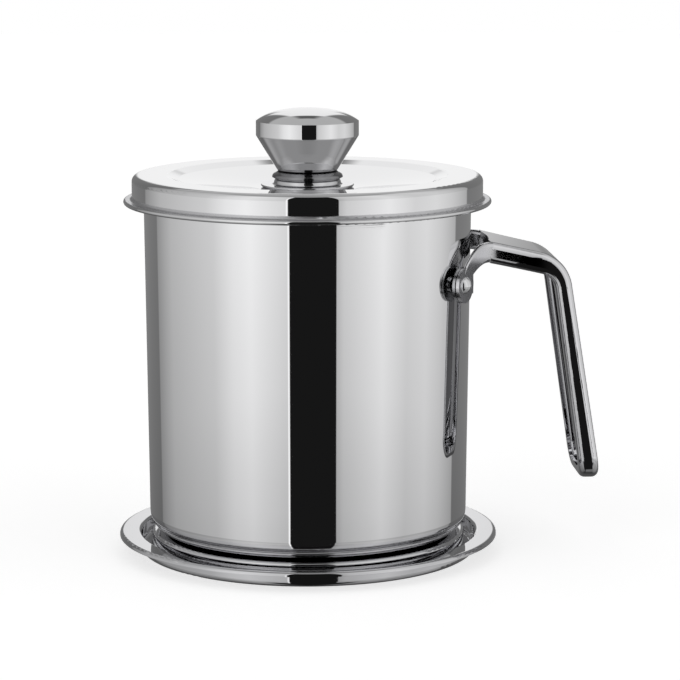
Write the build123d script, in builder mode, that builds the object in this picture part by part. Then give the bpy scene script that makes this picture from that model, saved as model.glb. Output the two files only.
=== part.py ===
"""Bacon grease container: a steel pot on a drip tray, with a lift-out strainer and a knobbed lid.

Millimetres, +Z up. The origin is on the pot's axis, on the surface that the tray stands on,
and the handle points along +X.
"""

import os
from math import asin, cos, degrees, radians, sin

from build123d import *

# ---------------------------------------------------------------- driving dimensions

SHEET = 0.6  # drawn stainless sheet of the pot, lid, tray and strainer

# pot
POT_R = 60.0  # outside, under the rim; the tray, the strainer and the lid follow it
POT_TAPER = 1.4  # how much its radius loses down to the bottom corner
POT_HEIGHT = 130.5  # from its base to the top of the rim
POT_CORNER = 7.5  # bottom corner radius
POT_RIM_BEAD_R = 1.3  # outside radius of the rolled rim
POT_RIM_CURL = 270.0  # degrees that the rim is rolled through

# tray
TRAY_PLATFORM_Z = 7.7  # top of the raised centre
TRAY_PLATFORM_INSET = 0.6  # the raised centre inside the pot's bottom
TRAY_PLATFORM_CORNER = 1.2
TRAY_GROOVE_WIDTH = 4.0  # drip groove, between the raised centre and the outer wall
TRAY_GROOVE_CORNER = 1.4
TRAY_LIP_WIDTH = 8.0
TRAY_LIP_DROP = 0.4  # the lip under the raised centre's top
TRAY_LIP_CORNER = 1.3
TRAY_EDGE_DROP = 1.6  # how far the lip's edge turns down

# handle bracket and rivets
RIVET_DROP = 35.6  # under the pot's rim
EAR_SPREAD = 32.0  # from the handle's plane to the middle of each ear
EAR_R = 6.4  # rounded end of each ear
BRACKET_SHEET = 1.0
BRACKET_STAND_OFF = 1.8  # gap behind the ears that clears the rivets' tails
BRACKET_HALF_HEIGHT = 4.5  # of the strap between the ears
BRACKET_WELD_LENGTH = 33.5  # stretch that lies on the wall
BRACKET_STEP_LENGTH = 4.2  # stretch over which it steps out to an ear
RIVET_R = 1.9
RIVET_HEAD_R = 3.1
RIVET_HEAD_H = 1.9
RIVET_TAIL_R = 2.7
RIVET_TAIL_H = 0.8

# handle
HANDLE_SHEET = 1.2
ARM_REACH = 5.4  # from the pot's radius out to the arm's root
ARM_SLOPE = 12.9  # degrees down, going outwards
ARM_DEPTH = 7.8
FLARE_REACH = 28.0  # out to where the arm starts to widen towards its root
BEND_REACH = 34.3  # out to where the arm's and the grip's outer lines meet
BEND_RISE = 7.0  # of that meeting above the rivets
BEND_OUTER_R = 15.0
BEND_INNER_R = 6.5
GRIP_LEAN = 9.2  # degrees from upright
GRIP_DEPTH = 6.2  # under the bend
GRIP_TIP_DEPTH = 7.4
GRIP_TOP_DROP = 8.4  # under the bend, where the grip starts to narrow towards its tip
GRIP_LENGTH = 83.2  # height from the bend down to the tip
GRIP_TIP_CORNER = 9.0  # rounding of the tip, seen from the front
HANDLE_EDGE_R = 2.4  # rounded long edges
LIP_WIDTH = 4.2  # turned-in lip each side of the handle's open back
ROOT_HALF_WIDTH = 18.5
BEND_HALF_WIDTH = 16.5
TIP_HALF_WIDTH = 16.0
NOTCH_R = 60.0  # concave end of the web between the legs
NOTCH_REACH = 1.0  # how far it reaches into the web
LEG_THICKNESS = 3.4  # where a leg leaves the arm
LEG_END_THICKNESS = 1.0  # where it runs into its ear
LEG_REACH = 2.5  # how far a leg runs on in line with the arm's side
LEG_FLARE = 14.0  # degrees that it points outwards there
LEG_ELBOW_IN = 2.0  # its elbow, from there towards the pot
LEG_ELBOW_OUT = 5.0  # and sideways
LEG_DROP = 6.0  # how far above the rivet a leg stands upright
LEG_INSET = 0.15  # a leg's start, inside the arm's rounded edge
LEG_END_WIDTH = 6.0
LEG_ROUNDING = 0.45  # of a leg's edges, as a share of its thickness
LEG_TURN = 1.5  # power of the share of its length by which a leg turns and thins
LEG_STATIONS = (0, 0.3, 0.55, 0.8, 1)

# strainer
FLANGE_INSET = 0.6  # the flange inside the pot's rolled rim
FLANGE_CORNER = 0.8
COLLAR_GAP = 0.5  # between the collar and the inside of the pot
COLLAR_DEPTH = 11.0
LEDGE_WIDTH = 4.4
LEDGE_CORNER = 1.4
MESH_THICKNESS = 0.5
MESH_EDGE_WIDTH = 4.2  # flat edge, from its rim to where the bowl turns down
MESH_EDGE_R = 3.0
MESH_DEPTH = 20.0
MESH_SIDE_RUN = 9.7  # how far its side leans in, down to the floor
MESH_CORNER = 14.0
MESH_INSET = 1.0  # the mesh's rim, inside the collar
RING_THICKNESS = 0.8
RING_WIDTH = 2.2
RING_EDGE_R = 0.3

# lid
LID_GAP = 1.6  # between the skirt and the pot's rolled rim
LID_SKIRT_H = 8.8  # from the flange's top to the flat ring
LID_FLANGE_WIDTH = 3.1  # beyond the skirt, over the bead
LID_BEAD_R = 0.85  # outside radius of the rolled flange
LID_FLANGE_CORNER = 0.9
LID_SHOULDER_R = 2.4
LID_RING_WIDTH = 12.7  # flat ring, from the skirt in
LID_STEP_WIDTH = 4.5  # slope from the ring down into the dish
LID_STEP_DROP = 1.6
LID_DISH_DROP = 4.7  # flat ring to the middle
LID_SEAT_MARGIN = 1.6  # flat middle round the knob's base
LID_DISH_R = 30.0  # curve from the flat middle to the dish
LID_STEP_CORNER = 3.0
LID_BEAD_CURL = 220.0  # degrees that the flange is rolled through

# knob
KNOB_SHEET = 0.7
KNOB_BASE_R = 17.4
KNOB_FOOT_H = 1.1  # top of the base's foot over the lid
KNOB_FOOT_LEAN = 1.0  # how far the foot's edge leans in, down to the lid
KNOB_FOOT_EDGE_R = 0.3
KNOB_NECK_R = 12.0
KNOB_NECK_FLARE = 0.4
KNOB_BASE_H = 3.0
KNOB_BASE_BEND = 0.9  # bends of the base's sheet
COLLAR_BOTTOM_R = 11.9
COLLAR_SKIRT_R = 12.95
COLLAR_SKIRT_H = 0.7
COLLAR_TOP_R = 10.7
COLLAR_H = 2.9
KNOB_CONE_BOTTOM_R = 10.85
KNOB_CONE_H = 12.2
KNOB_CONE_INSET = 0.5  # its top inside the band
KNOB_BAND_R = 18.8
KNOB_BAND_H = 6.1
KNOB_BAND_STEP = 0.8  # height over which the cone rounds into the band
KNOB_FLOOR_BEND = 1.4
KNOB_BAND_BEND = 0.7
KNOB_CROWN = 4.7  # rise of the domed cap
CAP_BULGE_R = 11.0  # where the dome starts to fall more steeply
CAP_BULGE_SHARE = 0.76  # of its rise, at that radius
CAP_SKIRT_GAP = 0.15  # the cap's skirt inside the band
CAP_SKIRT_H = 4.0
CAP_SKIRT_LAP = 0.35  # how far the skirt runs up into the dome

# fixing screw
SCREW_R = 1.95
SCREW_LENGTH = 18.0
SCREW_HEAD_R = 4.0
SCREW_HEAD_H = 2.4
SCREW_HEAD_EDGE = 0.9
SCREW_POINT = 0.5  # chamfer at its end
SCREW_SLOT = 0.9  # width of the cross recess
SCREW_SLOT_LENGTH = 4.8
SCREW_SLOT_DEPTH = 1.3
SCREW_CLEARANCE = 0.3  # in the holes that it only passes through
THREAD_GAP = 0.06
INSERT_R = 5.0
INSERT_H = 9.0
INSERT_CHAMFER = 0.5
FLAT_WASHER_R = 6.0
FLAT_WASHER_H = 0.8
LOCK_WASHER_R = 3.6
LOCK_WASHER_H = 1.0
LOCK_WASHER_SPLIT = 0.8

# clearances
SEAT_GAP = 0.2  # the strainer's flange above the round rim
CURVED_GAP = 0.1  # between curved faces of one body that lie on each other
RIVET_GAP = 0.05  # round a rivet's shank

# ---------------------------------------------------------------- places worked out from them

pot_base_z = TRAY_PLATFORM_Z
pot_rim_z = pot_base_z + POT_HEIGHT
pot_bottom_r = POT_R - POT_TAPER
rim_bead_z = pot_rim_z - POT_RIM_BEAD_R
rim_out_r = POT_R - SHEET + 2 * POT_RIM_BEAD_R
rivet_z = pot_rim_z - RIVET_DROP
flange_z = pot_rim_z + SEAT_GAP
lid_under_z = flange_z + SHEET
lid_top_z = lid_under_z + SHEET
lid_seat_z = lid_top_z - LID_DISH_DROP
knob_collar_z = lid_seat_z + KNOB_BASE_H
knob_cone_z = knob_collar_z + COLLAR_H
knob_band_z = knob_cone_z + KNOB_CONE_H
knob_rim_z = knob_band_z + KNOB_BAND_H
screw_head_z = lid_seat_z - SHEET - FLAT_WASHER_H - LOCK_WASHER_H
screw_hole_r = SCREW_R + SCREW_CLEARANCE


def wall_radius(z):
    """Outside radius of the tapered pot wall at height z."""
    low = pot_base_z + POT_CORNER
    return pot_bottom_r + POT_TAPER * (z - low) / (rim_bead_z - low)


weld_r = wall_radius(rivet_z + BRACKET_HALF_HEIGHT) + CURVED_GAP
bracket_ear_r = weld_r + BRACKET_STAND_OFF
handle_ear_r = bracket_ear_r + BRACKET_SHEET + CURVED_GAP
ear_angle = degrees(asin(EAR_SPREAD / handle_ear_r))


def pressed_section(points, radii, thickness, side):
    """Section of bent sheet: a line through the points, thickened to one side."""
    with BuildSketch(Plane.XZ) as section:
        with BuildLine():
            FilletPolyline(*points, radius=radii)
            offset(amount=thickness, side=side)
        make_face()
    return section.sketch


def radial_plane(angle):
    """Plane through the axis at the rivets' height, facing outwards at this angle."""
    outwards = (cos(radians(angle)), sin(radians(angle)), 0)
    return Plane(origin=(0, 0, rivet_z), x_dir=(-outwards[1], outwards[0], 0), z_dir=outwards)


def ear_disc(inner_r, thickness, angle):
    """Round ear round one rivet, bent to the pot's curve."""
    with BuildPart() as ear:
        with BuildSketch(Plane.XY.offset(rivet_z - 2 * EAR_R)):
            Circle(inner_r + thickness)
            Circle(inner_r, mode=Mode.SUBTRACT)
        extrude(amount=4 * EAR_R)
        with BuildSketch(radial_plane(angle)):
            Circle(EAR_R)
        extrude(amount=2 * inner_r, mode=Mode.INTERSECT)
    return ear.part


# ---------------------------------------------------------------- tray

with BuildPart() as tray:
    groove_in_r = pot_bottom_r - TRAY_PLATFORM_INSET
    groove_out_r = groove_in_r + TRAY_GROOVE_WIDTH
    tray_r = groove_out_r + TRAY_LIP_WIDTH
    lip_z = TRAY_PLATFORM_Z - TRAY_LIP_DROP
    add(
        pressed_section(
            [
                (0, TRAY_PLATFORM_Z),
                (groove_in_r, TRAY_PLATFORM_Z),
                (groove_in_r, SHEET),
                (groove_out_r, SHEET),
                (groove_out_r, lip_z),
                (tray_r, lip_z),
                (tray_r, lip_z - TRAY_EDGE_DROP),
            ],
            [TRAY_PLATFORM_CORNER] + 2 * [TRAY_GROOVE_CORNER] + 2 * [TRAY_LIP_CORNER],
            SHEET,
            Side.RIGHT,
        )
    )
    revolve(axis=Axis.Z)
tray.part.label = "tray"

# ---------------------------------------------------------------- pot

with BuildPart() as pot_body:
    inner_top_r = POT_R - SHEET
    inner_bottom_r = pot_bottom_r - SHEET
    with BuildSketch(Plane.XZ):
        with BuildLine():
            FilletPolyline(
                (0, pot_base_z + SHEET),
                (inner_bottom_r, pot_base_z + SHEET),
                (inner_top_r, rim_bead_z),
                radius=[POT_CORNER - SHEET],
            )
            CenterArc((inner_top_r + POT_RIM_BEAD_R, rim_bead_z), POT_RIM_BEAD_R, 180, -POT_RIM_CURL)
            offset(amount=SHEET, side=Side.RIGHT)
        make_face()
    revolve(axis=Axis.Z)
pot_body.part.label = "pot_body"

# ---------------------------------------------------------------- handle bracket and rivets

with BuildPart() as handle_bracket:
    weld_angle = degrees(BRACKET_WELD_LENGTH / 2 / weld_r)
    step_angle = weld_angle + degrees(BRACKET_STEP_LENGTH / weld_r)
    with BuildSketch(Plane.XY.offset(rivet_z - BRACKET_HALF_HEIGHT)):
        with BuildLine():
            near = CenterArc((0, 0), bracket_ear_r, -ear_angle, ear_angle - step_angle)
            weld = CenterArc((0, 0), weld_r, -weld_angle, 2 * weld_angle)
            far = CenterArc((0, 0), bracket_ear_r, step_angle, ear_angle - step_angle)
            Line(near @ 1, weld @ 0)
            Line(weld @ 1, far @ 0)
            offset(amount=BRACKET_SHEET, side=Side.RIGHT)
        make_face()
    extrude(amount=2 * BRACKET_HALF_HEIGHT)
    for angle in (-ear_angle, ear_angle):
        add(ear_disc(bracket_ear_r, BRACKET_SHEET, angle))
        with BuildSketch(radial_plane(angle)):
            Circle(RIVET_R + RIVET_GAP)
        extrude(amount=2 * weld_r, mode=Mode.SUBTRACT)
handle_bracket.part.label = "handle_bracket"

with BuildPart() as handle_rivets:
    tail_r = bracket_ear_r - CURVED_GAP
    head_r = handle_ear_r + HANDLE_SHEET
    for angle in (-ear_angle, ear_angle):
        plane = radial_plane(angle)
        with BuildSketch(Plane(origin=plane.origin, x_dir=plane.z_dir, z_dir=plane.x_dir)):
            with BuildLine():
                Polyline(
                    (tail_r - RIVET_TAIL_H, 0),
                    (tail_r - RIVET_TAIL_H, RIVET_TAIL_R),
                    (tail_r, RIVET_TAIL_R),
                    (tail_r, RIVET_R),
                    (head_r, RIVET_R),
                    (head_r, RIVET_HEAD_R),
                )
                dome_r = (RIVET_HEAD_R**2 + RIVET_HEAD_H**2) / (2 * RIVET_HEAD_H)
                RadiusArc((head_r, RIVET_HEAD_R), (head_r + RIVET_HEAD_H, 0), dome_r)
                Line((head_r + RIVET_HEAD_H, 0), (tail_r - RIVET_TAIL_H, 0))
            make_face()
        revolve(axis=Axis(plane.origin, plane.z_dir))
handle_rivets.part.label = "handle_rivets"

# ---------------------------------------------------------------- handle

arm_out = Vector(cos(radians(ARM_SLOPE)), -sin(radians(ARM_SLOPE)))
arm_in = Vector(-sin(radians(ARM_SLOPE)), -cos(radians(ARM_SLOPE)))
grip_down = Vector(sin(radians(GRIP_LEAN)), -cos(radians(GRIP_LEAN)))
grip_in = Vector(-cos(radians(GRIP_LEAN)), -sin(radians(GRIP_LEAN)))
bend = Vector(POT_R + BEND_REACH, rivet_z + BEND_RISE)
arm_root_x = POT_R + ARM_REACH
flare_x = POT_R + FLARE_REACH
grip_top_z = bend.Y - GRIP_TOP_DROP
handle_tip_z = bend.Y - GRIP_LENGTH


def arm_point(depth, x):
    """Point of the arm's line this deep under its top line."""
    start = bend + arm_in * depth
    return start + arm_out * ((x - start.X) / arm_out.X)


def bend_point(arm_depth, grip_depth):
    """Where the arm's line and the grip's line at these depths meet."""
    start = bend + arm_in * arm_depth
    along = (grip_depth - (start - bend).dot(grip_in)) / arm_out.dot(grip_in)
    return start + arm_out * along


def tip_point(depth, z):
    """Point of the grip's line at this depth, at height z."""
    start = bend + grip_in * depth
    return start + grip_down * ((z - start.Y) / grip_down.Y)


def handle_outline(side):
    """Width of the handle all along, as a block: the grip seen from the front, the arm from above."""
    half_root = ROOT_HALF_WIDTH - side
    half_bend = BEND_HALF_WIDTH - side
    half_tip = TIP_HALF_WIDTH - side
    tip_z = handle_tip_z + side
    top_z = bend.Y + 2 * ARM_DEPTH
    with BuildPart() as outline:
        with BuildSketch(Plane.YZ.offset(flare_x)):
            with BuildLine():
                right = TangentArc((half_bend, grip_top_z), (half_tip, tip_z), tangent=(0, -1))
                left = mirror(right, about=Plane.YZ)
                Line((-half_tip, tip_z), (half_tip, tip_z))
                Polyline(
                    (half_bend, grip_top_z),
                    (half_bend, top_z),
                    (-half_bend, top_z),
                    (-half_bend, grip_top_z),
                )
            make_face()
            fillet(vertices().group_by(Axis.Y)[0], radius=GRIP_TIP_CORNER - side)
        extrude(amount=flare_x)
        with BuildSketch(Plane.XY.offset(grip_top_z)):
            with BuildLine():
                flare = TangentArc((flare_x, half_bend), (arm_root_x, half_root), tangent=(-1, 0))
                mirror(flare, about=Plane.XZ)
                Line((arm_root_x, half_root), (arm_root_x, -half_root))
                Line((flare_x, half_bend), (flare_x, -half_bend))
            make_face()
        extrude(amount=top_z - grip_top_z)
    return outline.part


def handle_bar(outer, inner, side, edge_r):
    """Bar that fills the handle, its outer, inner and side faces moved in by these, its edges rounded."""
    arm_back = ARM_DEPTH - inner
    grip_back = GRIP_DEPTH - inner
    tip_back = GRIP_TIP_DEPTH - inner
    tip_z = handle_tip_z + side
    with BuildPart() as bar:
        with BuildSketch(Plane.XZ):
            with BuildLine():
                FilletPolyline(
                    arm_point(outer, arm_root_x),
                    bend_point(outer, outer),
                    tip_point(outer, tip_z),
                    tip_point(tip_back, tip_z),
                    bend_point(arm_back, grip_back),
                    arm_point(arm_back, arm_root_x),
                    radius=[BEND_OUTER_R - outer, 0, 0, BEND_INNER_R + inner],
                )
                Line(arm_point(arm_back, arm_root_x), arm_point(outer, arm_root_x))
            make_face()
        extrude(amount=2 * ROOT_HALF_WIDTH, both=True)
        add(handle_outline(side), mode=Mode.INTERSECT)
        if edge_r:
            long_edges = edges() - edges().filter_by(Axis.Y) - edges().group_by(Axis.X)[0]
            fillet(long_edges + edges().filter_by(Axis.Y).group_by(Axis.Z)[0], radius=edge_r)
    return bar.part


def handle_leg(side):
    """Leg of the wishbone: the arm's rounded edge sweeps down and flattens into an ear."""
    angle = side * radians(ear_angle)
    ear_r = handle_ear_r + HANDLE_SHEET / 2
    leg_start_y = ROOT_HALF_WIDTH - LEG_THICKNESS / 2 - LEG_INSET
    middle = (arm_point(0, arm_root_x) + arm_point(ARM_DEPTH, arm_root_x)) * 0.5
    start = Vector(arm_root_x, side * leg_start_y, middle.Y)
    end = Vector(ear_r * cos(angle), ear_r * sin(angle), rivet_z)
    flare = radians(LEG_FLARE)
    heading = Vector(-cos(flare) * arm_out.X, side * sin(flare) * arm_out.X, -arm_out.Y)
    lead = start + heading * LEG_REACH
    elbow = lead + Vector(-LEG_ELBOW_IN, side * LEG_ELBOW_OUT, 0)
    path = Bezier(start, lead, elbow, end + Vector(0, 0, LEG_DROP), end)
    across_end = Vector(-side * sin(angle), side * cos(angle), 0)
    with BuildPart() as leg:
        for share in LEG_STATIONS:
            point, along = path @ share, path % share
            turned = share**LEG_TURN
            hint = Vector(0, 0, 1) * (1 - turned) + across_end * turned
            across = hint - along * hint.dot(along)
            width = (ARM_DEPTH - 2 * LEG_INSET) * (1 - turned) + LEG_END_WIDTH * turned
            thickness = (LEG_THICKNESS - LEG_END_THICKNESS) * (1 - share) ** LEG_TURN + LEG_END_THICKNESS
            with BuildSketch(Plane(origin=point, x_dir=across, z_dir=along)):
                RectangleRounded(width, thickness, LEG_ROUNDING * thickness)
        loft()
    return leg.part


with BuildPart() as handle:
    add(handle_bar(0, 0, 0, HANDLE_EDGE_R))
    hollow = handle_bar(HANDLE_SHEET, HANDLE_SHEET, HANDLE_SHEET, HANDLE_EDGE_R - HANDLE_SHEET)
    add(hollow, mode=Mode.SUBTRACT)
    add(handle_bar(2 * HANDLE_SHEET, -2 * HANDLE_SHEET, LIP_WIDTH, 0), mode=Mode.SUBTRACT)
    with BuildSketch(Plane.XY):
        with Locations((arm_root_x + NOTCH_REACH - NOTCH_R, 0)):
            Circle(NOTCH_R)
    extrude(amount=2 * bend.Y, mode=Mode.SUBTRACT)
    for side in (-1, 1):
        add(handle_leg(side))
        with BuildSketch(radial_plane(side * ear_angle).offset(handle_ear_r)):
            Circle(EAR_R)
        extrude(amount=HANDLE_SHEET)
        with BuildSketch(radial_plane(side * ear_angle)):
            Circle(RIVET_R + RIVET_GAP)
        extrude(amount=2 * weld_r, mode=Mode.SUBTRACT)
handle.part.label = "handle"

# ---------------------------------------------------------------- strainer

flange_r = rim_out_r - FLANGE_INSET
collar_r = POT_R - SHEET - COLLAR_GAP
ledge_z = flange_z - COLLAR_DEPTH
mesh_top_z = ledge_z
mesh_rim_r = collar_r - MESH_INSET
mesh_turn_r = mesh_rim_r - MESH_EDGE_WIDTH
mesh_floor_r = mesh_turn_r - MESH_SIDE_RUN
mesh_floor_z = mesh_top_z - MESH_DEPTH

with BuildPart() as strainer_collar:
    add(
        pressed_section(
            [
                (flange_r, flange_z),
                (collar_r, flange_z),
                (collar_r, ledge_z),
                (collar_r - LEDGE_WIDTH, ledge_z),
            ],
            [FLANGE_CORNER, LEDGE_CORNER],
            SHEET,
            Side.RIGHT,
        )
    )
    revolve(axis=Axis.Z)
strainer_collar.part.label = "strainer_collar"

with BuildPart() as strainer_mesh:
    add(
        pressed_section(
            [
                (mesh_rim_r, mesh_top_z),
                (mesh_turn_r, mesh_top_z),
                (mesh_floor_r, mesh_floor_z),
                (0, mesh_floor_z),
            ],
            [MESH_EDGE_R, MESH_CORNER],
            MESH_THICKNESS,
            Side.LEFT,
        )
    )
    revolve(axis=Axis.Z)
strainer_mesh.part.label = "strainer_mesh"

with BuildPart() as strainer_ring:
    with BuildSketch(Plane.XY.offset(mesh_top_z - MESH_THICKNESS)):
        Circle(mesh_rim_r)
        Circle(mesh_rim_r - RING_WIDTH, mode=Mode.SUBTRACT)
    extrude(amount=-RING_THICKNESS)
    fillet(edges().group_by(Axis.Z)[0], radius=RING_EDGE_R)
strainer_ring.part.label = "strainer_ring"

# ---------------------------------------------------------------- lid

with BuildPart() as lid_shell:
    lid_skirt_r = rim_out_r + LID_GAP + SHEET
    ring_inner_r = lid_skirt_r - LID_RING_WIDTH
    lid_flange_z = lid_top_z - LID_SKIRT_H
    bead_centre = (lid_skirt_r + LID_FLANGE_WIDTH - LID_BEAD_R, lid_flange_z - LID_BEAD_R)
    with BuildSketch(Plane.XZ):
        with BuildLine():
            FilletPolyline(
                (screw_hole_r, lid_seat_z),
                (KNOB_BASE_R + LID_SEAT_MARGIN, lid_seat_z),
                (ring_inner_r - LID_STEP_WIDTH, lid_top_z - LID_STEP_DROP),
                (ring_inner_r, lid_top_z),
                (lid_skirt_r, lid_top_z),
                (lid_skirt_r, lid_flange_z),
                (bead_centre[0], lid_flange_z),
                radius=[LID_DISH_R, LID_STEP_CORNER, LID_STEP_CORNER, LID_SHOULDER_R, LID_FLANGE_CORNER],
            )
            CenterArc(bead_centre, LID_BEAD_R, 90, -LID_BEAD_CURL)
            offset(amount=SHEET, side=Side.RIGHT)
        make_face()
    revolve(axis=Axis.Z)
lid_shell.part.label = "lid_shell"

# ---------------------------------------------------------------- knob

with BuildPart() as knob_base:
    foot_z = lid_seat_z + KNOB_FOOT_H
    neck_inner_r = KNOB_NECK_R - KNOB_SHEET
    with BuildSketch(Plane.XZ):
        with BuildLine():
            outside = FilletPolyline(
                (screw_hole_r, knob_collar_z),
                (KNOB_NECK_R, knob_collar_z),
                (KNOB_NECK_R + KNOB_NECK_FLARE, foot_z),
                (KNOB_BASE_R, foot_z),
                (KNOB_BASE_R - KNOB_FOOT_LEAN, lid_seat_z),
                radius=[KNOB_BASE_BEND, KNOB_BASE_BEND, KNOB_FOOT_EDGE_R],
            )
            Polyline(
                outside @ 1,
                (neck_inner_r, lid_seat_z),
                (neck_inner_r, knob_collar_z - KNOB_SHEET),
                (screw_hole_r, knob_collar_z - KNOB_SHEET),
                outside @ 0,
            )
        make_face()
    revolve(axis=Axis.Z)
knob_base.part.label = "knob_base"

with BuildPart() as knob_collar:
    with BuildSketch(Plane.XZ):
        with BuildLine():
            Polyline(
                (screw_hole_r, knob_cone_z),
                (screw_hole_r, knob_collar_z),
                (COLLAR_BOTTOM_R, knob_collar_z),
                (COLLAR_SKIRT_R, knob_collar_z + COLLAR_SKIRT_H),
            )
            Spline(
                (COLLAR_SKIRT_R, knob_collar_z + COLLAR_SKIRT_H),
                (COLLAR_TOP_R, knob_cone_z),
                tangents=((0, 1), (-1, 1)),
            )
            Line((COLLAR_TOP_R, knob_cone_z), (screw_hole_r, knob_cone_z))
        make_face()
    revolve(axis=Axis.Z)
knob_collar.part.label = "knob_collar"

with BuildPart() as knob_body:
    add(
        pressed_section(
            [
                (screw_hole_r, knob_cone_z),
                (KNOB_CONE_BOTTOM_R, knob_cone_z),
                (KNOB_BAND_R - KNOB_CONE_INSET, knob_band_z),
                (KNOB_BAND_R, knob_band_z + KNOB_BAND_STEP),
                (KNOB_BAND_R, knob_rim_z),
            ],
            [KNOB_FLOOR_BEND, KNOB_BAND_BEND, KNOB_BAND_BEND],
            KNOB_SHEET,
            Side.LEFT,
        )
    )
    revolve(axis=Axis.Z)
knob_body.part.label = "knob_body"

with BuildPart() as knob_cap:
    crown_z = knob_rim_z + KNOB_CROWN
    bulge_z = knob_rim_z + CAP_BULGE_SHARE * KNOB_CROWN
    skirt_r = KNOB_BAND_R - KNOB_SHEET - CAP_SKIRT_GAP
    with BuildSketch(Plane.XZ):
        with BuildLine():
            crown = TangentArc((0, crown_z), (CAP_BULGE_R, bulge_z), tangent=(1, 0))
            TangentArc(crown @ 1, (KNOB_BAND_R, knob_rim_z), tangent=crown % 1)
            offset(amount=KNOB_SHEET, side=Side.RIGHT)
        make_face()
        with Locations((0, knob_rim_z)):
            Rectangle(2 * KNOB_BAND_R, KNOB_SHEET, align=(Align.CENTER, Align.MAX), mode=Mode.SUBTRACT)
        with Locations((skirt_r, knob_rim_z - CAP_SKIRT_H)):
            Rectangle(KNOB_SHEET, CAP_SKIRT_H + CAP_SKIRT_LAP, align=(Align.MAX, Align.MIN))
    revolve(axis=Axis.Z)
knob_cap.part.label = "knob_cap"

with BuildPart() as knob_insert:
    with BuildSketch(Plane.XY.offset(knob_cone_z + KNOB_SHEET)):
        Circle(INSERT_R)
        Circle(SCREW_R + THREAD_GAP, mode=Mode.SUBTRACT)
    extrude(amount=INSERT_H)
    outer_edges = edges().filter_by(GeomType.CIRCLE).sort_by(SortBy.RADIUS)[-2:]
    chamfer(outer_edges.sort_by(Axis.Z)[-1], length=INSERT_CHAMFER)
knob_insert.part.label = "knob_insert"

with BuildPart() as flat_washer:
    with BuildSketch(Plane.XY.offset(lid_seat_z - SHEET)):
        Circle(FLAT_WASHER_R)
        Circle(screw_hole_r, mode=Mode.SUBTRACT)
    extrude(amount=-FLAT_WASHER_H)
flat_washer.part.label = "flat_washer"

with BuildPart() as lock_washer:
    with BuildSketch(Plane.XY.offset(lid_seat_z - SHEET - FLAT_WASHER_H)):
        Circle(LOCK_WASHER_R)
        Circle(screw_hole_r, mode=Mode.SUBTRACT)
        Rectangle(LOCK_WASHER_R, LOCK_WASHER_SPLIT, align=(Align.MIN, Align.CENTER), mode=Mode.SUBTRACT)
    extrude(amount=-LOCK_WASHER_H)
lock_washer.part.label = "lock_washer"

with BuildPart() as knob_screw:
    with BuildSketch(Plane.XY.offset(screw_head_z)):
        Circle(SCREW_HEAD_R)
    extrude(amount=-SCREW_HEAD_H)
    fillet(edges().group_by(Axis.Z)[0], radius=SCREW_HEAD_EDGE)
    with BuildSketch(Plane.XY.offset(screw_head_z)):
        Circle(SCREW_R)
    extrude(amount=SCREW_LENGTH)
    chamfer(edges().group_by(Axis.Z)[-1], length=SCREW_POINT)
    with BuildSketch(Plane.XY.offset(screw_head_z - SCREW_HEAD_H)):
        Rectangle(SCREW_SLOT_LENGTH, SCREW_SLOT)
        Rectangle(SCREW_SLOT, SCREW_SLOT_LENGTH)
    extrude(amount=SCREW_SLOT_DEPTH, mode=Mode.SUBTRACT)
knob_screw.part.label = "knob_screw"

# ---------------------------------------------------------------- files

pieces = [
    tray, pot_body, handle_bracket, handle_rivets, handle,
    strainer_collar, strainer_mesh, strainer_ring,
    lid_shell, knob_base, knob_collar, knob_body, knob_cap,
    knob_insert, flat_washer, lock_washer, knob_screw,
]
os.makedirs("parts", exist_ok=True)
for piece in pieces:
    export_step(piece.part, f"parts/{piece.part.label}.step")
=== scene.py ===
"""Looks of the grease container: polished steel, woven strainer, studio and camera. Metres, row frame."""

from math import cos, radians, sin

import bpy
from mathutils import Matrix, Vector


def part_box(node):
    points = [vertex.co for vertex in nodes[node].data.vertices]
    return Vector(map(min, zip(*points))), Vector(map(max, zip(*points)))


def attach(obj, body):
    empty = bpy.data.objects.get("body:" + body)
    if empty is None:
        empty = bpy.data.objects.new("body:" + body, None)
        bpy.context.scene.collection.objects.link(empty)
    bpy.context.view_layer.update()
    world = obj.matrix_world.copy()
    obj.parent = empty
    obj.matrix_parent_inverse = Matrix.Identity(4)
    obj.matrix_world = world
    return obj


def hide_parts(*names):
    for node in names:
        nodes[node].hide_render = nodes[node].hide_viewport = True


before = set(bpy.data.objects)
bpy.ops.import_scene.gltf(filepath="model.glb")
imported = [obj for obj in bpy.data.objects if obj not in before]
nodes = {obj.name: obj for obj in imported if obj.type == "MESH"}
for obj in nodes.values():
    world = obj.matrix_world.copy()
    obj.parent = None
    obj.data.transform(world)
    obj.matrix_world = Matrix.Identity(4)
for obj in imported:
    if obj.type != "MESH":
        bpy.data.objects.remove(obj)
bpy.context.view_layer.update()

# ---------------------------------------------------------------- sizes

CAMERA_AZIMUTH = radians(-3.5)  # round from -Y, towards -X
CAMERA_DISTANCE = 1.049
CAMERA_HEIGHT = 0.2574
CAMERA_PITCH = radians(9.71)
CAMERA_YAW = radians(0.65)
CAMERA_LENS = 152.6  # mm, on a 36 mm sensor

WIRE_R = 0.125e-3
WIRE_PITCH = 1.35e-3
WIRE_SIDES = 4
POINTS_PER_PITCH = 2  # where a wire bends
CLOTH_HALF = 0.25e-3  # half the thickness of the strainer's bowl: the wires cross inside it

POLISH_LINE = 0.35e-3  # spacing of the buffing lines, drawn some ten times coarser than real so that they show
POLISH_DEPTH = 0.02e-3
LINE_DRIFT = 25.0  # the lines change along their length about every 40 mm
SMEARS = 60.0  # hazier and clearer spots about 17 mm across
CORNER_EDGE = 0.2  # share of its half width over which a dull corner fades

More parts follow.
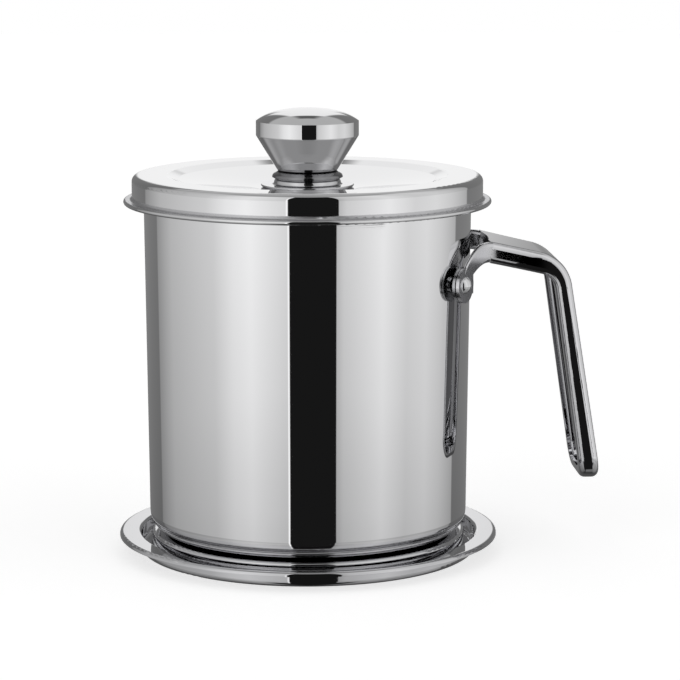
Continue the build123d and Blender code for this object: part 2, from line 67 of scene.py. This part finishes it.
LID_CORNER_DEPTH = 8.3e-3  # from the lid's top to the corner over its flange
LID_CORNER_HALF = 0.7e-3
COLLAR_SHADOW_DEPTH = 0.1e-3  # from the collar's top to the painted shadow line under the cone
COLLAR_SHADOW_HALF = 0.22e-3
HANDLE_ROOT_X = 56.5e-3
HANDLE_ROOT_HALF = 9.5e-3

FLOOR_HALF = 3.0
FLOOR_DROP = 0.1e-3  # keeps the floor clear of the tray's underside
FLOOR_LIFT = 0.66  # added for the camera alone: a white floor that keeps the shadow


def linear(code):
    """Linear RGBA of an sRGB hex colour."""
    parts = [int(code[i : i + 2], 16) / 255 for i in (1, 3, 5)]
    return [c / 12.92 if c <= 0.04045 else ((c + 0.055) / 1.055) ** 2.4 for c in parts] + [1.0]


def node(tree, kind, inputs=None, stops=(), **settings):
    """Adds a node: its settings, its sockets' values or links, and a colour ramp's grey stops."""
    made = tree.nodes.new(kind)
    for name, value in settings.items():
        setattr(made, name, value)
    for socket, value in (inputs or {}).items():
        if isinstance(value, bpy.types.Node):
            value = value.outputs[0]
        if isinstance(value, bpy.types.NodeSocket):
            tree.links.new(value, made.inputs[socket])
        else:
            made.inputs[socket].default_value = value
    for number, (place, level) in enumerate(stops):
        ramp = made.color_ramp.elements
        stop = ramp[number] if number < 2 else ramp.new(place)
        stop.position = place
        stop.color = (level, level, level, 1)
    return made


def new_material(name):
    """Material with an empty node tree and its output."""
    made = bpy.data.materials.new(name)
    made.use_nodes = True
    made.node_tree.nodes.clear()
    return made, made.node_tree, made.node_tree.nodes.new("ShaderNodeOutputMaterial")


# ---------------------------------------------------------------- materials


def polished_steel(name, code, along, low, high, corner=None, painted_shade_code=None):
    """Stainless steel, buffed round the axis ("round") or along the handle ("length").

    Low and high are the roughness of the clearer and the hazier lines. A corner is where the buffing wheel doesn't
    reach: an axis, its middle, half its width and the roughness that it adds. It may also get painted shade: a
    darker colour of its own.
    """
    made, tree, output = new_material(name)
    place = node(tree, "ShaderNodeTexCoord").outputs["Object"]
    xyz = node(tree, "ShaderNodeSeparateXYZ", {0: place}).outputs
    if along == "round":
        flat = node(tree, "ShaderNodeVectorMath", {0: place, 1: (1, 1, 0)}, operation="MULTIPLY")
        radius = node(tree, "ShaderNodeVectorMath", {0: flat}, operation="LENGTH").outputs["Value"]
        across = node(tree, "ShaderNodeCombineXYZ", {0: radius, 1: xyz["Z"]})
    else:
        across = node(tree, "ShaderNodeCombineXYZ", {0: xyz["Y"]})
    fine = node(tree, "ShaderNodeVectorMath", {0: across, "Scale": 1 / POLISH_LINE}, operation="SCALE")
    drift = node(tree, "ShaderNodeVectorMath", {0: place, "Scale": LINE_DRIFT}, operation="SCALE")
    where = node(tree, "ShaderNodeVectorMath", {0: fine, 1: drift})
    lines = node(tree, "ShaderNodeTexNoise", {"Vector": where, "Scale": 1.0, "Detail": 3.0, "Roughness": 0.55})
    smears = node(tree, "ShaderNodeTexNoise", {"Vector": place, "Scale": SMEARS, "Detail": 3.0, "Roughness": 0.5})
    both = node(tree, "ShaderNodeMath", {0: lines, 1: smears}, operation="MULTIPLY")
    rough = node(
        tree,
        "ShaderNodeMapRange",
        {"Value": both, "From Min": 0.1, "From Max": 0.45, "To Min": low, "To Max": high},
    )
    if corner:
        axis, middle, half, added = corner
        past = node(tree, "ShaderNodeMath", {0: xyz[axis], 1: middle}, operation="SUBTRACT")
        off = node(tree, "ShaderNodeMath", {0: past}, operation="ABSOLUTE")
        edges = {"Value": off, "From Min": (1 + CORNER_EDGE) * half, "From Max": (1 - CORNER_EDGE) * half}
        inside = node(tree, "ShaderNodeMapRange", edges)
        rough = node(tree, "ShaderNodeMath", {0: inside, 1: added, 2: rough}, operation="MULTIPLY_ADD")
    bump = node(tree, "ShaderNodeBump", {"Strength": 0.03, "Distance": POLISH_DEPTH, "Height": lines})
    shader = node(
        tree,
        "ShaderNodeBsdfPrincipled",
        {"Base Color": linear(code), "Metallic": 1.0, "Roughness": rough, "Normal": bump},
    )
    # painted shade: the corner's mask mixes in a darker colour where shade falls
    if painted_shade_code:
        colours = {0: inside, 6: linear(code), 7: linear(painted_shade_code)}
        painted_shade_mix = node(tree, "ShaderNodeMix", colours, data_type="RGBA")
        tree.links.new(painted_shade_mix.outputs[2], shader.inputs["Base Color"])
    tree.links.new(shader.outputs[0], output.inputs["Surface"])
    return made


# Stainless sheet, deep drawn and mirror polished while it turns: a clear mirror with hair-fine rings.
turned = polished_steel("polished_steel_round", "#e6e6e7", "round", 0.012, 0.03)

# The lid's sheet is the same. The tight corner over its flange stays satin, with painted shade: a soft grey line.
lid_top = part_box("lid_shell")[1][2]
lid_corner = ("Z", lid_top - LID_CORNER_DEPTH, LID_CORNER_HALF, 0.3)
turned_lid = polished_steel("polished_steel_lid", "#e6e6e7", "round", 0.012, 0.03, lid_corner, "#d0d0d2")

# The handle is pressed from thicker sheet and polished lengthwise: a mirror whose light runs along the grip, and
# satin between its two legs, where the wheel can't reach.
handle_root = ("X", HANDLE_ROOT_X, HANDLE_ROOT_HALF, 0.17)
pressed = polished_steel("polished_steel_handle", "#e2e2e4", "length", 0.015, 0.035, handle_root)

# The tray is pressed sheet with a plainer polish: slightly darker and softer than the pot on it.
pressed_tray = polished_steel("polished_steel_tray", "#d3d3d5", "round", 0.02, 0.05)

# The knob's collar is turned and barely polished: darker and hazier. A thin black line is painted round its top,
# under the cone: painted shadow of the gap between collar and cone.
collar_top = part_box("knob_collar")[1][2]
collar_gap_shadow = ("Z", collar_top - COLLAR_SHADOW_DEPTH, COLLAR_SHADOW_HALF, 0.3)
turned_collar = polished_steel(
    "turned_steel_collar", "#909092", "round", 0.1, 0.18, collar_gap_shadow, "#161618"
)

# The knob's foot is spun and lightly polished: bright, with soft-edged reflections.
turned_foot = polished_steel("turned_steel_foot", "#d8d8da", "round", 0.06, 0.12)

# Bracket, screw, washers and insert are tumbled, not polished: an even satin grey.
plain = polished_steel("plain_steel_fasteners", "#c9cacc", "round", 0.16, 0.3)

# Drawn stainless wire keeps the die's dull skin: small soft highlights along each wire.
drawn_wire = polished_steel("drawn_wire", "#d4d5d7", "length", 0.18, 0.3)

finishes = {
    "tray": pressed_tray,
    "lid_shell": turned_lid,
    "knob_collar": turned_collar,
    "knob_base": turned_foot,
    "handle": pressed,
    "handle_bracket": plain,
    "knob_insert": plain,
    "knob_screw": plain,
    "lock_washer": plain,
    "flat_washer": plain,
}
for name, piece in nodes.items():
    piece.data.materials.clear()
    piece.data.materials.append(finishes.get(name, turned))

# ---------------------------------------------------------------- woven strainer


def woven_cloth(material):
    """Node group that weaves round wires along X and Y and lays them on a form, seen from above."""
    tree = bpy.data.node_groups.new("woven_cloth", "GeometryNodeTree")
    for name, kind in (
        ("Form", "NodeSocketObject"),
        ("Pitch", "NodeSocketFloat"),
        ("Wire Radius", "NodeSocketFloat"),
        ("Half Thickness", "NodeSocketFloat"),
        ("Top", "NodeSocketFloat"),
        ("Wires Each Side", "NodeSocketInt"),
    ):
        tree.interface.new_socket(name, in_out="INPUT", socket_type=kind)
    tree.interface.new_socket("Cloth", in_out="OUTPUT", socket_type="NodeSocketGeometry")
    given = tree.nodes.new("NodeGroupInput").outputs
    pitch, each_side = given["Pitch"], given["Wires Each Side"]

    # one straight wire with points to bend it at, and a row of such wires
    reach = node(tree, "ShaderNodeMath", {0: each_side, 1: pitch}, operation="MULTIPLY")
    back = node(tree, "ShaderNodeMath", {0: reach, 1: -1.0}, operation="MULTIPLY")
    first = node(tree, "ShaderNodeCombineXYZ", {"X": back, "Z": given["Top"]})
    last = node(tree, "ShaderNodeCombineXYZ", {"X": reach, "Z": given["Top"]})
    straight = node(tree, "GeometryNodeCurvePrimitiveLine", {"Start": first, "End": last})
    points = node(
        tree, "ShaderNodeMath", {0: each_side, 1: 2 * POINTS_PER_PITCH, 2: 1.0}, operation="MULTIPLY_ADD"
    )
    wire = node(tree, "GeometryNodeResampleCurve", {"Curve": straight, "Count": points})
    count = node(tree, "ShaderNodeMath", {0: each_side, 1: 2.0, 2: 1.0}, operation="MULTIPLY_ADD")
    start = node(tree, "ShaderNodeCombineXYZ", {"Y": back})
    stride = node(tree, "ShaderNodeCombineXYZ", {"Y": pitch})
    rows = node(tree, "GeometryNodeMeshLine", {"Count": count, "Start Location": start, "Offset": stride})
    laid = node(tree, "GeometryNodeInstanceOnPoints", {"Points": rows, "Instance": wire})
    weft = node(tree, "GeometryNodeRealizeInstances", {0: laid})
    warp = node(tree, "GeometryNodeTransform", {"Geometry": weft, "Rotation": (0, 0, radians(90))})

    # the height of a plain weave, over one wire and under the next
    xyz = node(tree, "ShaderNodeSeparateXYZ", {0: node(tree, "GeometryNodeInputPosition")}).outputs
    wave = given["Wire Radius"]
    for axis in "XY":
        pitches = node(tree, "ShaderNodeMath", {0: xyz[axis], 1: pitch}, operation="DIVIDE")
        turn = node(tree, "ShaderNodeMath", {0: pitches, 1: radians(180)}, operation="MULTIPLY")
        swing = node(tree, "ShaderNodeMath", {0: turn}, operation="COSINE")
        wave = node(tree, "ShaderNodeMath", {0: swing, 1: wave}, operation="MULTIPLY")

    # each wire drops onto the form, goes half its thickness in, and swings about that
    form = node(tree, "GeometryNodeObjectInfo", {"Object": given["Form"]}).outputs["Geometry"]
    ray = {"Target Geometry": form, "Ray Direction": (0, 0, -1), "Ray Length": 1.0}
    down = node(tree, "GeometryNodeRaycast", ray).outputs
    missed = node(tree, "FunctionNodeBooleanMath", {0: down["Is Hit"]}, operation="NOT")
    ring = {"Resolution": WIRE_SIDES, "Radius": given["Wire Radius"]}
    section = node(tree, "GeometryNodeCurvePrimitiveCircle", ring)
    joined = tree.nodes.new("GeometryNodeJoinGeometry")
    for wires, side in ((weft, 1.0), (warp, -1.0)):
        swing = node(tree, "ShaderNodeMath", {0: wave, 1: side}, operation="MULTIPLY")
        lift = node(tree, "ShaderNodeMath", {0: swing, 1: given["Half Thickness"]}, operation="SUBTRACT")
        step = node(tree, "ShaderNodeVectorMath", {0: down["Hit Normal"], "Scale": lift}, operation="SCALE")
        spot = node(tree, "ShaderNodeVectorMath", {0: down["Hit Position"], 1: step})
        kept = node(tree, "GeometryNodeDeleteGeometry", {"Geometry": wires, "Selection": missed})
        bent = node(tree, "GeometryNodeSetPosition", {"Geometry": kept, "Position": spot})
        sweep = {"Curve": bent, "Profile Curve": section, "Fill Caps": True}
        round_wires = node(tree, "GeometryNodeCurveToMesh", sweep)
        tree.links.new(round_wires.outputs[0], joined.inputs[0])
    real = node(tree, "GeometryNodeRealizeInstances", {0: joined})
    finished = node(tree, "GeometryNodeSetMaterial", {"Geometry": real, "Material": material})
    node(tree, "NodeGroupOutput", {0: finished})
    return tree


def weave(name, form, material, **sizes):
    """Plain mesh of woven wire that follows a form."""
    maker = bpy.data.objects.new(name + "_maker", bpy.data.meshes.new(name + "_maker"))
    bpy.context.scene.collection.objects.link(maker)
    group = woven_cloth(material)
    modifier = maker.modifiers.new("weave", "NODES")
    modifier.node_group = group
    sockets = {item.name: item.identifier for item in group.interface.items_tree if item.in_out == "INPUT"}
    modifier[sockets["Form"]] = form
    for size, value in sizes.items():
        modifier[sockets[size.replace("_", " ").title()]] = value
    seen = maker.evaluated_get(bpy.context.evaluated_depsgraph_get())
    cloth = bpy.data.objects.new(name, bpy.data.meshes.new_from_object(seen))
    bpy.data.objects.remove(maker)
    bpy.context.scene.collection.objects.link(cloth)
    cloth.data.materials.clear()
    cloth.data.materials.append(material)
    cloth.data.shade_smooth()
    return cloth


mesh_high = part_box("strainer_mesh")[1]
strainer_weave = weave(
    "strainer_weave",
    nodes["strainer_mesh"],
    drawn_wire,
    pitch=WIRE_PITCH,
    wire_radius=WIRE_R,
    half_thickness=CLOTH_HALF,
    top=mesh_high[2] + WIRE_PITCH,
    wires_each_side=int(mesh_high[0] / WIRE_PITCH),
)
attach(strainer_weave, "strainer")
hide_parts("strainer_mesh")

# ---------------------------------------------------------------- studio

# Matt pale paper: no reflection, only the object's soft shadow.
floor_material, tree, output = new_material("studio_floor")
rays = node(tree, "ShaderNodeLightPath").outputs
paper = node(tree, "ShaderNodeBsdfDiffuse", {"Color": linear("#dcdcdc")})
lift = node(tree, "ShaderNodeEmission", {"Color": (1, 1, 1, 1), "Strength": FLOOR_LIFT})
lifted = node(tree, "ShaderNodeAddShader", {0: paper, 1: lift})
shown = node(tree, "ShaderNodeMixShader", {0: rays["Is Camera Ray"], 1: paper, 2: lifted})
tree.links.new(shown.outputs[0], output.inputs["Surface"])

floor_mesh = bpy.data.meshes.new("studio_floor")
corners = [(x * FLOOR_HALF, y * FLOOR_HALF, -FLOOR_DROP) for x, y in ((-1, -1), (1, -1), (1, 1), (-1, 1))]
floor_mesh.from_pydata(corners, [], [(0, 1, 2, 3)])
floor = bpy.data.objects.new("studio_floor", floor_mesh)
bpy.context.scene.collection.objects.link(floor)
floor_mesh.materials.append(floor_material)
floor.visible_glossy = False

# A round tent of soft light: degrees round from the camera's side, and how bright it is there.
TENT = (
    (-180, 0.25), (-132, 0.2), (-131, 0.33), (-111, 0.57), (-69, 0.77), (-54, 1.0), (-40, 1.1), (-17, 0.88),
    (20, 0.6), (25, 0.77), (54, 1.03), (74, 0.82), (92, 0.88), (108, 0.74), (127, 0.5), (128, 0.22), (180, 0.25),
)
# How its light falls off with the degrees above or below the horizon, down to the ground.
HEIGHTS = (
    (-90, 0.1), (-60, 0.33), (-35, 0.42), (-27, 0.6), (-21, 0.5), (-15, 0.66), (-12, 0.87), (-8, 1.0), (-2, 0.85),
    (90, 0.85),
)
# The roof, which takes over from the tent between two heights.
ROOF = ((62, 0.38), (76, 0.38), (90, 0.25))
ROOF_START, ROOF_FULL = 55, 66
# Panels in front of it, each over the ones before it. In degrees: middle, half width and soft edge round, lowest,
# highest and soft edge up. Then its brightness.
PANELS = (
    (180, 52, 8, 41, 79, 3, 0.5),  # ring of light over the back
    (180, 6, 3, -4, 24, 2, 0.97),  # strip light behind
    (180, 11, 2, 17, 43, 2, 0.97),  # its wider top
    (180, 9, 4, 43, 56, 2, 0.12),  # black card over it
    (-13.2, 0.6, 0.3, -50, 60, 2, 1.15),  # gap beside the black flag
    (3.7, 16.3, 0.3, -90, 62, 0.3, 0.01),  # black flag in front
    (34, 20, 3, -8.6, -7.65, 0.1, 0.0),  # its foot, beside the handle
    (3.7, 34, 5, -90, -34, 5, 0.01),  # black cloth on the ground before it
)

world = bpy.data.worlds.new("studio_light")
bpy.context.scene.world = world
world.use_nodes = True
tree = world.node_tree
tree.nodes.clear()

# the two angles of a direction, in degrees
away = node(tree, "ShaderNodeTexCoord").outputs["Generated"]
faced = node(tree, "ShaderNodeMapping", {"Vector": away, "Rotation": (0, 0, -CAMERA_AZIMUTH)})
xyz = node(tree, "ShaderNodeSeparateXYZ", {0: faced}).outputs
to_camera = node(tree, "ShaderNodeMath", {0: xyz["Y"], 1: -1.0}, operation="MULTIPLY")
turned_by = node(tree, "ShaderNodeMath", {0: xyz["X"], 1: to_camera}, operation="ARCTAN2")
round_angle = node(tree, "ShaderNodeMath", {0: turned_by}, operation="DEGREES")
raised_by = node(tree, "ShaderNodeMath", {0: xyz["Z"]}, operation="ARCSINE")
height_angle = node(tree, "ShaderNodeMath", {0: raised_by}, operation="DEGREES")

# tent and roof: each ramp runs over the whole circle or half circle
round_share = node(tree, "ShaderNodeMath", {0: round_angle, 1: 1 / 360, 2: 0.5}, operation="MULTIPLY_ADD")
height_share = node(tree, "ShaderNodeMath", {0: height_angle, 1: 1 / 180, 2: 0.5}, operation="MULTIPLY_ADD")
tent = node(tree, "ShaderNodeValToRGB", {0: round_share}, [(0.5 + a / 360, level) for a, level in TENT])
fall = node(tree, "ShaderNodeValToRGB", {0: height_share}, [(0.5 + a / 180, level) for a, level in HEIGHTS])
roof = node(tree, "ShaderNodeValToRGB", {0: height_share}, [(0.5 + a / 180, level) for a, level in ROOF])
lit = {0: 1.0, 6: tent, 7: fall}
light = node(tree, "ShaderNodeMix", lit, data_type="RGBA", blend_type="MULTIPLY").outputs[2]
to_roof = {"Value": height_angle, "From Min": ROOF_START, "From Max": ROOF_FULL}
roof_share = node(tree, "ShaderNodeMapRange", to_roof, interpolation_type="SMOOTHSTEP")
light = node(tree, "ShaderNodeMix", {0: roof_share, 6: light, 7: roof}, data_type="RGBA").outputs[2]

for middle, half, side, lowest, highest, end, level in PANELS:
    past = node(tree, "ShaderNodeMath", {0: round_angle, 1: middle}, operation="SUBTRACT")
    nearest = node(tree, "ShaderNodeMath", {0: past, 1: 180, 2: -180}, operation="WRAP")
    off = node(tree, "ShaderNodeMath", {0: nearest}, operation="ABSOLUTE")
    inside = 1.0
    for angle, start, full in (
        (off, half + side, half - side),
        (height_angle, lowest - end, lowest + end),
        (height_angle, highest + end, highest - end),
    ):
        edge = {"Value": angle, "From Min": start, "From Max": full}
        share = node(tree, "ShaderNodeMapRange", edge, interpolation_type="SMOOTHSTEP")
        inside = node(tree, "ShaderNodeMath", {0: inside, 1: share}, operation="MULTIPLY")
    over = {0: inside, 6: light, 7: (level, level, level, 1)}
    light = node(tree, "ShaderNodeMix", over, data_type="RGBA").outputs[2]

# the camera itself sees a plain white background
rays = node(tree, "ShaderNodeLightPath").outputs
white = {0: rays["Is Camera Ray"], 6: light, 7: (1, 1, 1, 1)}
shown = node(tree, "ShaderNodeMix", white, data_type="RGBA").outputs[2]
glow = node(tree, "ShaderNodeBackground", {"Color": shown, "Strength": 1.0})
node(tree, "ShaderNodeOutputWorld", {"Surface": glow})

bpy.context.scene.view_settings.view_transform = "Standard"

# ---------------------------------------------------------------- camera

camera = bpy.data.objects.new("camera", bpy.data.cameras.new("camera"))
bpy.context.scene.collection.objects.link(camera)
camera.data.lens = CAMERA_LENS
camera.data.sensor_width = 36.0
camera.data.clip_start = 0.01
camera.location = (
    CAMERA_DISTANCE * sin(CAMERA_AZIMUTH),
    -CAMERA_DISTANCE * cos(CAMERA_AZIMUTH),
    CAMERA_HEIGHT,
)
camera.rotation_euler = (radians(90) - CAMERA_PITCH, 0, CAMERA_AZIMUTH - CAMERA_YAW)
bpy.context.scene.camera = camera
